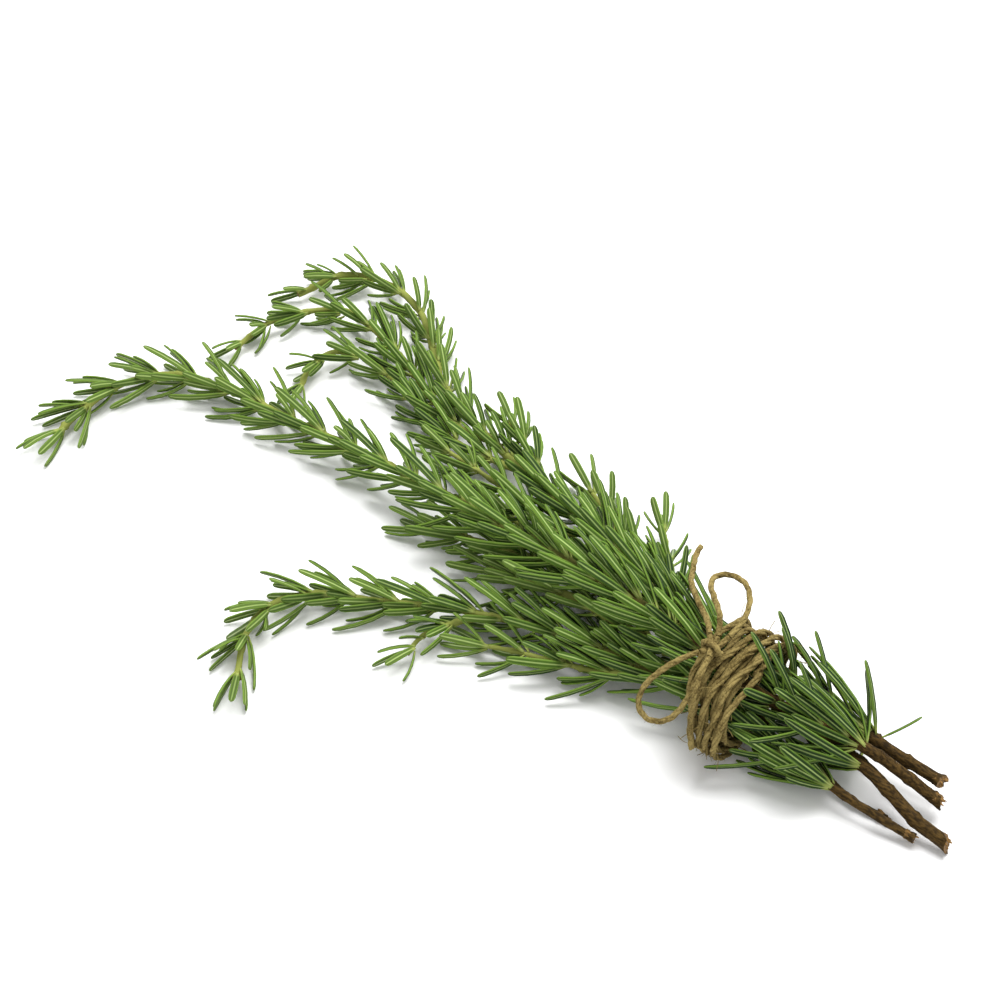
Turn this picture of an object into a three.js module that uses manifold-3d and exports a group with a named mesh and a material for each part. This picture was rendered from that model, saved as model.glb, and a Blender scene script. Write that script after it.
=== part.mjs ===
// A tied bunch of cut rosemary lying on a table. Millimetres, +Z up, cut ends toward +X.
import * as THREE from "three";
import Module from "manifold-3d";

const wasm = await Module();
wasm.setup();

// Driving dimensions
const gap = 0.3; // between pieces that touch
const skin = 0.5; // thickness of the joined leaf bases round a stem
const ringStep = 16; // distance between the rings of a stem
const stemSides = 5;
const leafHalfWidth = 1.15;
const leafThickness = 0.9;
const leafSpace = 2.35; // least distance between the middles of two leaves
const floorClear = 1.25;
const nodeStep = 13.5; // distance between leaf whorls
const nodesPerPiece = 4;
const twineRadius = 1.0;
const tie = {
  x: 112.5, y: 0, z: 18.2, halfWidth: 16.8, halfHeight: 11.9, pitch: 2.35, turns: 7, over: 4, overPitch: 4,
};

// Each route runs from the cut end to the growing tip. r is the radius at both ends, bare is the length
// without leaves at the cut end, leaf is the leaf length low down and at the tip.
const sprigs = [
  {
    name: "sprig_1", r: [1.9, 1.1], bare: 24, leaf: [27, 20],
    route: [
      [182, 8.5, 7], [158, 6, 15.5], [135, 0, 21], [113, -2, 25], [80, 2, 27], [50, 3, 26], [10, 6, 21],
      [-30, 10, 13], [-72, 10, 8], [-105, 8, 6.5], [-124, 2, 6], [-135, -13, 5.5], [-137, -30, 4.5],
      [-136.5, -42, 3.5],
    ],
    branches: [],
  },
  {
    name: "sprig_2", r: [1.9, 1.1], bare: 20, leaf: [27, 15],
    route: [
      [179, 13.5, 9.5], [159, 12.5, 12], [136, 12, 17], [113, 9, 20], [92, 10, 21], [65, 18, 20],
      [40, 26, 17], [0, 38, 11], [-43, 54, 8], [-60, 68, 7], [-76, 80, 7], [-94, 84, 7], [-110, 79, 6],
      [-118, 62, 4],
    ],
    branches: [
      { name: "branch_a", bare: 13, r: [1.1, 0.9], leaf: [21, 14],
        route: [
          [-12, 42, 10], [-30, 43, 7], [-50, 50, 8], [-63, 56, 8], [-86, 63, 7], [-96, 64, 7],
          [-105, 59, 6], [-115, 44, 5.5], [-117, 27, 4],
        ] },
      { name: "branch_b", bare: 13, r: [1.1, 0.9], leaf: [21, 14],
        route: [
          [8, 35, 12], [-28, 37, 7], [-45, 42, 7], [-62, 48, 6], [-78, 50, 6], [-87, 45, 6],
          [-89, 36, 5], [-85, 25, 3.5],
        ] },
      { name: "shoot_a", bare: 7, r: [0.9, 0.7], leaf: [20, 16],
        route: [[44, 25, 17], [33, 21, 14], [20, 22, 14], [0, 25, 14], [-22, 28, 12]] },
      { name: "shoot_b", bare: 9, r: [0.9, 0.7], leaf: [18, 15],
        route: [[18, 32, 14], [4, 41.5, 15], [-13, 51.5, 13]] },
    ],
  },
  {
    name: "sprig_3", r: [1.3, 1.0], bare: 24, leaf: [27, 19],
    route: [
      [181, -5, 3.5], [160, -7, 7], [134, -6, 10], [113, -5, 12], [88, -7, 12], [61, -10, 10],
      [29, -19, 8], [-2, -34, 6], [-18, -43, 6], [-26, -55, 6], [-25, -68, 5], [-16, -83, 3.5],
    ],
    branches: [
      { name: "branch_a", bare: 8, r: [0.9, 0.7], leaf: [24, 20],
        route: [[88, -7, 12], [76, -14, 9], [62, -18, 7], [46, -23, 6], [36, -27, 5]] },
      { name: "shoot_a", bare: 9, r: [0.9, 0.7], leaf: [16, 15],
        route: [[34, -17.5, 8], [24, -27, 6.5], [19.5, -36, 5], [20, -43, 4]] },
    ],
  },
  {
    name: "sprig_4", r: [2.3, 1.0], bare: 30, leaf: [27, 20],
    route: [
      [190, -1, 4], [180, -1, 6], [169, 1, 9], [159, 3, 11], [134, 5, 13], [113, 3, 14], [100, 0, 16],
      [72, -1, 17], [51, -1, 16], [40, -2, 14], [21, -3, 9],
    ],
    branches: [
      { name: "branch_a", bare: 13, r: [1.1, 0.8], leaf: [25, 20],
        route: [
          [84, 0, 16.5], [72, 6, 13], [60, 9, 12], [41, 9, 11], [18, 7, 9], [-2, 2, 7], [-8, 0.5, 6],
        ] },
    ],
  },
  {
    name: "sprig_5", r: [1.1, 0.9], bare: 18, leaf: [26, 19],
    route: [
      [171, -3, 1.9], [158, -4, 3.4], [138, 0, 6.5], [113, 4, 9.5], [89, 12, 10], [68, 20, 11],
      [48, 32, 9], [35, 41, 8], [25, 46, 8],
    ],
    branches: [
      { name: "branch_a", bare: 8, r: [0.9, 0.7], leaf: [23, 18],
        route: [[68, 20, 11], [50, 18, 9], [35, 18, 7], [10, 21, 7], [-15, 26, 6]] },
      { name: "shoot_a", bare: 7, r: [0.9, 0.7], leaf: [19, 17],
        route: [[84, 14, 10], [70, 29, 12], [56, 44, 12]] },
    ],
  },
];

const vec = (a) => new THREE.Vector3(a[0], a[1], a[2]);

// A repeatable number from 0 to 1 for whole numbers a and b.
function chance(a, b) {
  const wave = Math.sin(a * 127.1 + b * 311.7 + 17.3) * 43758.5453;
  return wave - Math.floor(wave);
}

// Rings carried along a route without twisting, with an arc length and a radius on each.
function ringsAlong(route, radii, step) {
  const curve = new THREE.CatmullRomCurve3(route.map(vec), false, "centripetal");
  const count = Math.max(3, Math.round(curve.getLength() / step) + 1);
  const points = curve.getSpacedPoints(count - 1);
  const rings = [];
  let side = new THREE.Vector3(0, 0, 1);
  let arc = 0;
  points.forEach((p, i) => {
    const ahead = points[Math.min(i + 1, count - 1)];
    const behind = points[Math.max(i - 1, 0)];
    const t = ahead.clone().sub(behind).normalize();
    side = side.clone().addScaledVector(t, -side.dot(t)).normalize();
    arc += i ? p.distanceTo(points[i - 1]) : 0;
    rings.push({ p, t, n: side, b: t.clone().cross(side), s: arc });
  });
  rings.forEach((ring) => {
    ring.r = radii[0] + (radii[1] - radii[0]) * (ring.s / arc) ** 0.8;
  });
  return rings;
}

// The ring at arc length s, straight between its neighbours so that sleeves keep the stem's own facets.
function ringAt(rings, s) {
  let i = 0;
  while (i < rings.length - 2 && rings[i + 1].s < s) i += 1;
  const a = rings[i];
  const c = rings[i + 1];
  const f = (s - a.s) / (c.s - a.s);
  const mix = (key) => a[key].clone().lerp(c[key], f);
  return { p: mix("p"), t: mix("t").normalize(), n: mix("n"), b: mix("b"), s, r: a.r + (c.r - a.r) * f };
}

function ringsBetween(rings, from, to) {
  const inner = rings.filter((ring) => ring.s > from + 0.8 && ring.s < to - 0.8);
  return [ringAt(rings, from), ...inner, ringAt(rings, to)];
}

function circlePoints(ring, grow, sides) {
  return Array.from({ length: sides }, (_, k) => {
    const turn = (k / sides) * Math.PI * 2;
    const reach = ring.r + grow;
    const out = ring.n.clone().multiplyScalar(Math.cos(turn)).addScaledVector(ring.b, Math.sin(turn));
    return ring.p.clone().addScaledVector(out, reach);
  });
}

function solidFrom(points, faces) {
  const mesh = new wasm.Mesh({
    numProp: 3,
    vertProperties: new Float32Array(points.flatMap((p) => [p.x, p.y, p.z])),
    triVerts: new Uint32Array(faces.flat()),
  });
  return new wasm.Manifold(mesh);
}

// A closed solid from loops of equal size, capped with a middle point at both ends.
function loft(loops) {
  const sides = loops[0].length;
  const points = loops.flat();
  const faces = [];
  for (let i = 0; i + 1 < loops.length; i += 1) {
    for (let k = 0; k < sides; k += 1) {
      const a = i * sides + k;
      const b = i * sides + ((k + 1) % sides);
      faces.push([a, b, b + sides], [a, b + sides, a + sides]);
    }
  }
  const last = (loops.length - 1) * sides;
  for (let k = 1; k + 1 < sides; k += 1) {
    faces.push([0, k + 1, k], [last, last + k, last + k + 1]);
  }
  return solidFrom(points, faces);
}

function tube(rings, grow, sides) {
  return loft(rings.map((ring) => circlePoints(ring, grow, sides)));
}

// A tube wall round a stretch of stem: the leaf bases run into one another along it.
function sleeve(rings) {
  const outer = rings.map((ring) => circlePoints(ring, gap + skin, stemSides));
  const inner = rings.map((ring) => circlePoints(ring, gap, stemSides));
  const loops = [...outer, ...inner.reverse()];
  const points = loops.flat();
  const faces = [];
  for (let i = 0; i < loops.length; i += 1) {
    for (let k = 0; k < stemSides; k += 1) {
      const next = (i + 1) % loops.length;
      const other = (k + 1) % stemSides;
      const a = i * stemSides;
      const b = next * stemSides;
      faces.push([a + k, a + other, b + other], [a + k, b + other, b + k]);
    }
  }
  return solidFrom(points, faces);
}

// A narrow blade with a ridge, from a point at its base to a point at its tip.
function blade(leaf) {
  const { base, mid, tip, face } = leaf;
  const along = [tip.clone().sub(base).normalize(), tip.clone().sub(mid).normalize()];
  const spots = [base.clone().lerp(mid, 0.9), mid.clone().lerp(tip, 0.72)];
  const widths = [1, 0.82];
  const points = [base];
  spots.forEach((spot, i) => {
    const side = along[i].clone().cross(face).normalize();
    const up = side.clone().cross(along[i]).normalize();
    const half = leafHalfWidth * widths[i];
    points.push(spot.clone().addScaledVector(side, half).addScaledVector(up, -leafThickness * 0.35));
    points.push(spot.clone().addScaledVector(up, leafThickness * 0.65));
    points.push(spot.clone().addScaledVector(side, -half).addScaledVector(up, -leafThickness * 0.35));
  });
  points.push(tip);
  const faces = [];
  for (let k = 0; k < 3; k += 1) {
    const next = (k + 1) % 3;
    faces.push([0, 1 + k, 1 + next]);
    faces.push([1 + k, 4 + next, 1 + next], [1 + k, 4 + k, 4 + next]);
    faces.push([4 + next, 4 + k, 7]);
  }
  return solidFrom(points, faces);
}

// Closest distance between the segments a-b and c-d.
function segmentDistance(a, b, c, d) {
  const u = b.clone().sub(a);
  const v = d.clone().sub(c);
  const w = a.clone().sub(c);
  const uu = u.dot(u);
  const uv = u.dot(v);
  const vv = v.dot(v);
  const uw = u.dot(w);
  const vw = v.dot(w);
  const clamp = (value) => Math.min(1, Math.max(0, value));
  const den = uu * vv - uv * uv;
  let s = den > 1e-9 ? clamp((uv * vw - vv * uw) / den) : 0;
  const t = clamp((uv * s + vw) / vv);
  s = clamp((uv * t - uw) / uu);
  return a.clone().addScaledVector(u, s).distanceTo(c.clone().addScaledVector(v, t));
}

// The coil round the stems: side-by-side turns that gather two deep at the low near side, then a few slanted
// turns back over them.
function coilRoute() {
  const steps = 16;
  const gatherAngle = 3.75;
  return Array.from({ length: (tie.turns + tie.over) * steps + 1 }, (_, i) => {
    const turn = i / steps;
    const angle = 1.7 - turn * Math.PI * 2;
    const gather = Math.max(0, Math.cos(angle - gatherAngle));
    const climb = Math.min(1, Math.max(0, (turn - tie.turns) / 0.25));
    const cross = Math.min(1, Math.max(0, (turn - tie.turns - 0.25) / 0.5));
    const upper = Math.max(turn < tie.turns ? Math.floor(turn) % 2 : 0, climb);
    const lift = twineRadius + gap + climb * 2.35 + gather * upper * 2.6;
    const along = (tie.turns / 2 - Math.min(turn, tie.turns)) * tie.pitch + cross * tie.overPitch
      + Math.max(0, turn - tie.turns - 0.5) * tie.overPitch;
    const x = tie.x + 5.5 * gather + along * (1 - 0.45 * gather ** 2) + cross * 2.4 * Math.cos(angle - 0.6);
    const y = tie.y + Math.cos(angle) * (tie.halfWidth + lift);
    return [x, y, tie.z + Math.sin(angle) * (tie.halfHeight + lift)];
  });
}

// The bow: two loops and two tails that leave a small knot on top of the coil.
const knot = {
  centre: [107.5, -6, 37],
  strands: [
    [[104.8, -3, 38.2], [107.2, -6, 37.6], [109.3, -10, 38]],
    [[107.2, -2.4, 38.6], [107.5, -6, 37], [105.6, -9, 37]],
    [[109.4, 0, 37.7], [108.6, -5.5, 36.6], [108.8, -10, 35.4]],
  ],
  bandRadius: 2.7,
};
const freeTwine = {
  twine_tail_upper: [
    [104.5, -2.65, 38.3], [101, 1, 38.6], [94, 6, 38.5], [88, 11.5, 37.5], [85, 17, 36.5],
    [82, 23, 35.5], [81, 27, 35],
  ],
  twine_tail_lower: [
    [109.45, -10.4, 38.1], [110.5, -15.5, 37.6], [112, -21, 33.5], [113.5, -24.5, 25], [115, -25, 14],
  ],
  twine_loop_upper: [
    [107.1, -2, 38.75], [104, 3, 41], [99, 7, 42.5], [95.5, 10.5, 42.5], [95, 14, 42.5], [98, 17, 42.5],
    [103, 17.5, 42], [107, 14.5, 41], [109.5, 9, 39.5], [109.8, 4, 38.3], [109.45, 0.4, 37.8],
  ],
  twine_loop_lower: [
    [105.35, -9.4, 37], [102, -14, 35.5], [99, -19, 33], [97, -25, 29.5], [98, -29, 26],
    [102, -30.5, 24], [107, -29, 25], [109.5, -25, 27.5], [109.7, -19.5, 31], [109, -14, 34.2],
    [108.85, -10.4, 35.2],
  ],
};

function polyRings(route, radius) {
  const points = route.map(vec);
  let side = new THREE.Vector3(1, 0, 0.2);
  return points.map((p, i) => {
    const ahead = points[Math.min(i + 1, points.length - 1)];
    const behind = points[Math.max(i - 1, 0)];
    const t = ahead.clone().sub(behind).normalize();
    side = side.clone().addScaledVector(t, -side.dot(t)).normalize();
    return { p, t, n: side, b: t.clone().cross(side), r: radius };
  });
}

const coil = polyRings(coilRoute(), twineRadius);
const strands = Object.entries(freeTwine).map(([name, route]) => ({
  name,
  rings: ringsAlong(route, [twineRadius, twineRadius], 4.5),
}));
const knotStrands = knot.strands.map((route) => ringsAlong(route, [twineRadius, twineRadius], 3));
const band = Array.from({ length: 10 }, (_, k) => {
  const angle = (k / 9) * Math.PI * 1.94;
  const reach = knot.bandRadius;
  return [knot.centre[0] + Math.cos(angle) * reach * 1.1, knot.centre[1] + (k / 9 - 0.5) * 1.2,
    knot.centre[2] + Math.sin(angle) * reach * 0.9];
});
knotStrands.push(polyRings(band, twineRadius * 0.9));

// Things that leaves keep clear of: segments with a radius, the path they belong to and their place on it.
const blocks = [];
const paths = [];

sprigs.forEach((sprig) => {
  const rings = ringsAlong(sprig.route, sprig.r, ringStep);
  const main = { sprig, label: sprig.name, rings, bare: sprig.bare, leaf: sprig.leaf, leaves: [] };
  paths.push(main);
  sprig.paths = [main];
  sprig.branches.forEach((branch) => {
    const near = vec(branch.route[0]);
    const starts = Array.from({ length: 400 }, (_, i) => ringAt(rings, (rings.at(-1).s * i) / 399).p);
    starts.sort((a, b) => a.distanceTo(near) - b.distanceTo(near));
    const route = [starts[0].toArray(), ...branch.route.slice(1)];
    const path = {
      sprig, label: `${sprig.name}_${branch.name}`, rings: ringsAlong(route, branch.r, ringStep * 0.8),
      bare: branch.bare, leaf: branch.leaf, leaves: [], parent: main,
    };
    paths.push(path);
    sprig.paths.push(path);
  });
});

paths.forEach((path, owner) => {
  for (let i = 0; i + 1 < path.rings.length; i += 1) {
    blocks.push({ a: path.rings[i].p, b: path.rings[i + 1].p, r: path.rings[i].r + gap + skin, owner });
  }
});
[coil, ...knotStrands, ...strands.map((strand) => strand.rings)].forEach((rings) => {
  for (let i = 0; i + 1 < rings.length; i += 1) {
    blocks.push({ a: rings[i].p, b: rings[i + 1].p, r: twineRadius, owner: -1 });
  }
});

function makeLeaf(ring, turn, spread, length, curl) {
  const out = ring.n.clone().multiplyScalar(Math.cos(turn)).addScaledVector(ring.b, Math.sin(turn));
  const facet = (Math.PI * 2) / stemSides;
  const offFacet = (((turn % facet) + facet) % facet) - facet / 2;
  const inWall = (ring.r + gap + skin * 0.5) * (Math.cos(facet / 2) / Math.cos(offFacet));
  const base = ring.p.clone().addScaledVector(out.normalize(), inWall);
  const toward = (angle) => {
    const forward = ring.t.clone().multiplyScalar(Math.cos(angle));
    return forward.addScaledVector(out, Math.sin(angle));
  };
  const settle = (from, dir, reach) => {
    const end = from.clone().addScaledVector(dir, reach);
    end.z = Math.max(end.z, floorClear);
    return from.clone().addScaledVector(end.sub(from).normalize(), reach);
  };
  const mid = settle(base, toward(spread + curl), length * 0.5);
  const tip = settle(mid, toward(spread - curl), length * 0.5);
  const dir = tip.clone().sub(base).normalize();
  const face = ring.t.clone().addScaledVector(dir, -ring.t.dot(dir)).normalize();
  return { base, mid, tip, face };
}

function isClear(leaf, owner, whorl) {
  if (leaf.mid.z < floorClear - 0.05 || leaf.tip.z < floorClear - 0.05) return false;
  const start = leaf.base.clone().lerp(leaf.mid, 0.5);
  const nearStart = leaf.base.clone().lerp(leaf.mid, 0.2);
  for (const block of blocks) {
    const from = block.owner === owner ? start : nearStart;
    const need = block.r + (block.owner === owner ? 0.7 : leafHalfWidth + 0.1);
    if (segmentDistance(from, leaf.mid, block.a, block.b) < need) return false;
    if (segmentDistance(leaf.mid, leaf.tip, block.a, block.b) < need) return false;
  }
  for (const path of paths) {
    for (const other of path.leaves) {
      if (other.mid.distanceTo(leaf.mid) > 42) continue;
      const same = other.whorl === whorl && paths[owner] === path;
      const a = same ? start : nearStart;
      const otherStart = other.base.clone().lerp(other.mid, same ? 0.5 : 0.15);
      const need = same ? leafSpace * 0.8 : leafSpace;
      if (segmentDistance(a, leaf.mid, otherStart, other.mid) < need) return false;
      if (segmentDistance(a, leaf.mid, other.mid, other.tip) < need) return false;
      if (segmentDistance(leaf.mid, leaf.tip, otherStart, other.mid) < need) return false;
      if (segmentDistance(leaf.mid, leaf.tip, other.mid, other.tip) < need) return false;
    }
  }
  return true;
}

// Whorls: an opposite pair, each with a smaller leaf on both sides of it, the next pair a quarter turn round.
const whorlSpots = [
  { turn: 0, along: 0, size: 1 }, { turn: Math.PI, along: 0.3, size: 0.97 },
  { turn: 0.75, along: 1.6, size: 0.78 }, { turn: Math.PI - 0.75, along: 1.9, size: 0.8 },
  { turn: -0.75, along: 2.2, size: 0.7 }, { turn: Math.PI + 0.75, along: 2.5, size: 0.72 },
];
// One leaf stands out alone at the cut end of a sprig.
const strays = [{ label: "sprig_2", s: 22, turn: 0.9, spread: 2.1, length: 13 }];
const tries = [
  [0, 0, 1], [0.35, 0.05, 1], [-0.35, 0.05, 1], [0, -0.22, 1], [0.7, 0, 0.95], [-0.7, 0, 0.95],
  [0.3, -0.28, 0.9], [-0.3, -0.28, 0.9], [0, 0.3, 0.85], [0.5, 0.25, 0.8], [-0.5, 0.25, 0.8],
  [0, -0.1, 0.65],
];
// Leaves between the cut ends and the twine may also stand up far enough to pass over it.
const overTie = [
  [0, 0.4, 1], [0.4, 0.45, 1], [-0.4, 0.45, 1], [0, 0.65, 0.9], [0.5, 0.6, 0.9], [-0.5, 0.6, 0.9],
];

function growLeaf(path, owner, whorl, index, s, turn, spread, length) {
  const curl = 0.02 + 0.07 * chance(index, 5);
  const ring = ringAt(path.rings, s);
  const isLow = ring.p.x > tie.x + 8;
  const places = isLow ? [...tries.slice(0, 8), ...overTie, ...tries.slice(8)] : tries;
  for (const [dTurn, dSpread, size] of places) {
    const leaf = makeLeaf(ring, turn + dTurn, Math.max(0.14, spread + dSpread), length * size, curl);
    if (isClear(leaf, owner, whorl)) {
      leaf.whorl = whorl;
      leaf.piece = Math.floor(whorl / nodesPerPiece);
      path.leaves.push(leaf);
      return;
    }
  }
}

paths.forEach((path) => {
  const total = path.rings.at(-1).s;
  path.nodeCount = Math.max(1, Math.round((total - path.bare - 6) / nodeStep));
  path.step = (total - path.bare - 6) / path.nodeCount;
});

strays.forEach((stray) => {
  const owner = paths.findIndex((path) => path.label === stray.label);
  growLeaf(paths[owner], owner, 0, 0, stray.s, stray.turn, stray.spread, stray.length);
});
const most = Math.max(...paths.map((path) => path.nodeCount));
for (let whorl = 0; whorl < most; whorl += 1) {
  paths.forEach((path, owner) => {
    if (whorl >= path.nodeCount) return;
    const part = whorl / Math.max(1, path.nodeCount - 1);
    const length = path.leaf[0] + (path.leaf[1] - path.leaf[0]) * part ** 1.3;
    const seed = owner * 97 + whorl * 7;
    whorlSpots.forEach((spot, k) => {
      const s = path.bare + (whorl + 0.25) * path.step + spot.along;
      const turn = whorl * (Math.PI / 2) + spot.turn + owner + (chance(seed, k) - 0.5) * 0.5;
      const spread = 0.27 + 0.24 * chance(seed + 1, k) + 0.2 * part;
      const size = spot.size * (0.88 + 0.2 * chance(seed + 2, k));
      const low = path.parent ? 0 : Math.max(0, 1 - s / 60);
      growLeaf(path, owner, whorl, seed + k, s, turn, spread, length * size * (1 + 0.5 * low));
    });
    if (whorl === path.nodeCount - 1) {
      for (let k = 0; k < 5; k += 1) {
        const turn = k * 1.2566 + owner;
        const s = path.rings.at(-1).s - 1.5 - k * 0.5;
        growLeaf(path, owner, whorl, seed + 50 + k, s, turn, 0.22 + 0.2 * chance(seed + 3, k), length * 0.8);
      }
    }
  });
}

// A free length of twine: a round section carried along its route.
function twineLength(rings) {
  const section = new THREE.Shape();
  section.absarc(0, 0, twineRadius, 0, Math.PI * 2);
  const route = new THREE.CatmullRomCurve3(rings.map((ring) => ring.p), false, "centripetal");
  const steps = rings.length - 1;
  return new THREE.ExtrudeGeometry(section, { extrudePath: route, steps, curveSegments: 8 });
}

const looks = {
  bark: new THREE.MeshStandardMaterial({ name: "bark", color: 0x6b4a31, roughness: 0.85 }),
  leaf: new THREE.MeshStandardMaterial({ name: "leaf", color: 0x3f6b26, roughness: 0.6 }),
  twine: new THREE.MeshStandardMaterial({ name: "twine", color: 0xb08e5e, roughness: 0.95 }),
};

const bunch = new THREE.Group();
bunch.name = "rosemary_bundle";

function addPiece(name, geometry, look) {
  const piece = new THREE.Mesh(geometry, looks[look].clone());
  piece.name = name;
  bunch.add(piece);
}

function addSolid(name, solid, look) {
  const mesh = solid.getMesh();
  const geometry = new THREE.BufferGeometry();
  geometry.setAttribute("position", new THREE.BufferAttribute(new Float32Array(mesh.vertProperties), 3));
  geometry.setIndex(new THREE.BufferAttribute(new Uint32Array(mesh.triVerts), 1));
  geometry.computeVertexNormals();
  addPiece(name, geometry, look);
}

sprigs.forEach((sprig) => {
  const stems = sprig.paths.map((path) => tube(path.rings, 0, stemSides));
  addSolid(`${sprig.name}_stem`, wasm.Manifold.union(stems), "bark");
  sprig.paths.forEach((path) => {
    const pieces = Math.ceil(path.nodeCount / nodesPerPiece);
    for (let i = 0; i < pieces; i += 1) {
      const lastWhorl = Math.min(path.nodeCount, (i + 1) * nodesPerPiece);
      const from = path.bare + i * nodesPerPiece * path.step + gap;
      const isTip = lastWhorl === path.nodeCount;
      const to = isTip ? path.rings.at(-1).s - 0.5 : path.bare + lastWhorl * path.step - gap;
      let solid = sleeve(ringsBetween(path.rings, from, to));
      const blades = path.leaves.filter((leaf) => leaf.piece === i).map(blade);
      solid = wasm.Manifold.union([solid, ...blades]);
      sprig.paths.forEach((other) => {
        if (other.parent === path) solid = solid.subtract(tube(other.rings, gap, stemSides));
      });
      const bodies = solid.simplify(0.02).decompose().sort((a, b) => b.volume() - a.volume());
      addSolid(`${path.label}_leaves_${i + 1}`, bodies[0], "leaf");
    }
  });
});
addSolid("twine_wraps", tube(coil, 0, 5), "twine");
const knotTubes = knotStrands.map((rings) => tube(rings, 0, 6));
addSolid("twine_knot", wasm.Manifold.union(knotTubes), "twine");
strands.forEach(({ name, rings }) => addPiece(name, twineLength(rings), "twine"));

const box = new THREE.Box3().setFromObject(bunch);
const middle = box.getCenter(new THREE.Vector3());
bunch.position.set(-middle.x, -middle.y, -box.min.z);
export default bunch;
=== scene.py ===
import math

import bmesh
import bpy
import numpy as np
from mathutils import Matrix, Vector


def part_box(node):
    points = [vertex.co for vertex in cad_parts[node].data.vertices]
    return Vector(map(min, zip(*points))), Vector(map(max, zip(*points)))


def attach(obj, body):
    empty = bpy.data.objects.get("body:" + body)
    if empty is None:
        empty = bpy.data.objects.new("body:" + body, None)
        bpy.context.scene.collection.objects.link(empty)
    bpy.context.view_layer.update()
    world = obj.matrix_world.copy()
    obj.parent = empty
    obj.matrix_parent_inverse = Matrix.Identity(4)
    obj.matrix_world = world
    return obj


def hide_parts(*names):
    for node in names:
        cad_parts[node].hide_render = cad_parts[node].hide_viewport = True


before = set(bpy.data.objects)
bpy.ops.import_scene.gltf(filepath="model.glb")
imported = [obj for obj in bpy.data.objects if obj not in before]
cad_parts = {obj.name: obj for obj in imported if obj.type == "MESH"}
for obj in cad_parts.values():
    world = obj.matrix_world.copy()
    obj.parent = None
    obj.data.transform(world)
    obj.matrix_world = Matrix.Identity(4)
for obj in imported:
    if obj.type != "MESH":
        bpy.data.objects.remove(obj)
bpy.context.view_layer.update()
mm = 0.001

# The bunch is drawn in millimetres in its own coordinates and shifted into the frame once.
# Each route runs from the cut end to the growing tip.
sprigs = {
    "sprig_1": {
        "radii": (1.9, 1.1), "bare": 24, "leafLength": (27, 20),
        "route": [
            (182, 8.5, 7), (158, 6, 15.5), (135, 0, 21), (113, -2, 25), (80, 2, 27), (50, 3, 26),
            (10, 6, 21), (-30, 10, 13), (-72, 10, 8), (-105, 8, 6.5), (-124, 2, 6), (-135, -13, 5.5),
            (-137, -30, 4.5), (-136.5, -42, 3.5)],
    },
    "sprig_2": {
        "radii": (1.9, 1.1), "bare": 20, "leafLength": (27, 15),
        "route": [
            (179, 13.5, 9.5), (159, 12.5, 12), (136, 12, 17), (113, 9, 20), (92, 10, 21), (65, 18, 20),
            (40, 26, 17), (0, 38, 11), (-43, 54, 8), (-60, 68, 7), (-76, 80, 7), (-94, 84, 7),
            (-110, 79, 6), (-118, 62, 4)],
        "branches": {
            "branch_a": {"bare": 13, "radii": (1.1, 0.9), "leafLength": (21, 14),
                         "route": [
                             (-12, 42, 10), (-30, 43, 7), (-50, 50, 8), (-63, 56, 8), (-86, 63, 7),
                             (-96, 64, 7), (-105, 59, 6), (-115, 44, 5.5), (-117, 27, 4)]},
            "branch_b": {"bare": 13, "radii": (1.1, 0.9), "leafLength": (21, 14),
                         "route": [
                             (8, 35, 12), (-28, 37, 7), (-45, 42, 7), (-62, 48, 6), (-78, 50, 6),
                             (-87, 45, 6), (-89, 36, 5), (-85, 25, 3.5)]},
            "shoot_a": {"bare": 7, "radii": (0.9, 0.7), "leafLength": (20, 16),
                        "route": [(44, 25, 17), (33, 21, 14), (20, 22, 14), (0, 25, 14), (-22, 28, 12)]},
            "shoot_b": {"bare": 9, "radii": (0.9, 0.7), "leafLength": (18, 15),
                        "route": [(18, 32, 14), (4, 41.5, 15), (-13, 51.5, 13)]},
        },
    },
    "sprig_3": {
        "radii": (1.3, 1.0), "bare": 24, "leafLength": (27, 19),
        "route": [
            (181, -5, 3.5), (160, -7, 7), (134, -6, 10), (113, -5, 12), (88, -7, 12), (61, -10, 10),
            (29, -19, 8), (-2, -34, 6), (-18, -43, 6), (-26, -55, 6), (-25, -68, 5), (-16, -83, 3.5)],
        "branches": {
            "branch_a": {"bare": 8, "radii": (0.9, 0.7), "leafLength": (24, 20),
                         "route": [(88, -7, 12), (76, -14, 9), (62, -18, 7), (46, -23, 6), (36, -27, 5)]},
            "shoot_a": {"bare": 9, "radii": (0.9, 0.7), "leafLength": (16, 15),
                        "route": [(34, -17.5, 8), (24, -27, 6.5), (19.5, -36, 5), (20, -43, 4)]},
        },
    },
    "sprig_4": {
        "radii": (2.3, 1.0), "bare": 30, "leafLength": (27, 20),
        "route": [
            (190, -1, 4), (180, -1, 6), (169, 1, 9), (159, 3, 11), (134, 5, 13), (113, 3, 14),
            (100, 0, 16), (72, -1, 17), (51, -1, 16), (40, -2, 14), (21, -3, 9)],
        "branches": {
            "branch_a": {"bare": 13, "radii": (1.1, 0.8), "leafLength": (25, 20),
                         "route": [
                             (84, 0, 16.5), (72, 6, 13), (60, 9, 12), (41, 9, 11), (18, 7, 9), (-2, 2, 7),
                             (-8, 0.5, 6)]},
        },
    },
    "sprig_5": {
        "radii": (1.1, 0.9), "bare": 18, "leafLength": (26, 19),
        "route": [
            (171, -3, 1.9), (158, -4, 3.4), (138, 0, 6.5), (113, 4, 9.5), (89, 12, 10), (68, 20, 11),
            (48, 32, 9), (35, 41, 8), (25, 46, 8)],
        "branches": {
            "branch_a": {"bare": 8, "radii": (0.9, 0.7), "leafLength": (23, 18),
                         "route": [(68, 20, 11), (50, 18, 9), (35, 18, 7), (10, 21, 7), (-15, 26, 6)]},
            "shoot_a": {"bare": 7, "radii": (0.9, 0.7), "leafLength": (19, 17),
                        "route": [(84, 14, 10), (70, 29, 12), (56, 44, 12)]},
        },
    },
}
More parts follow.
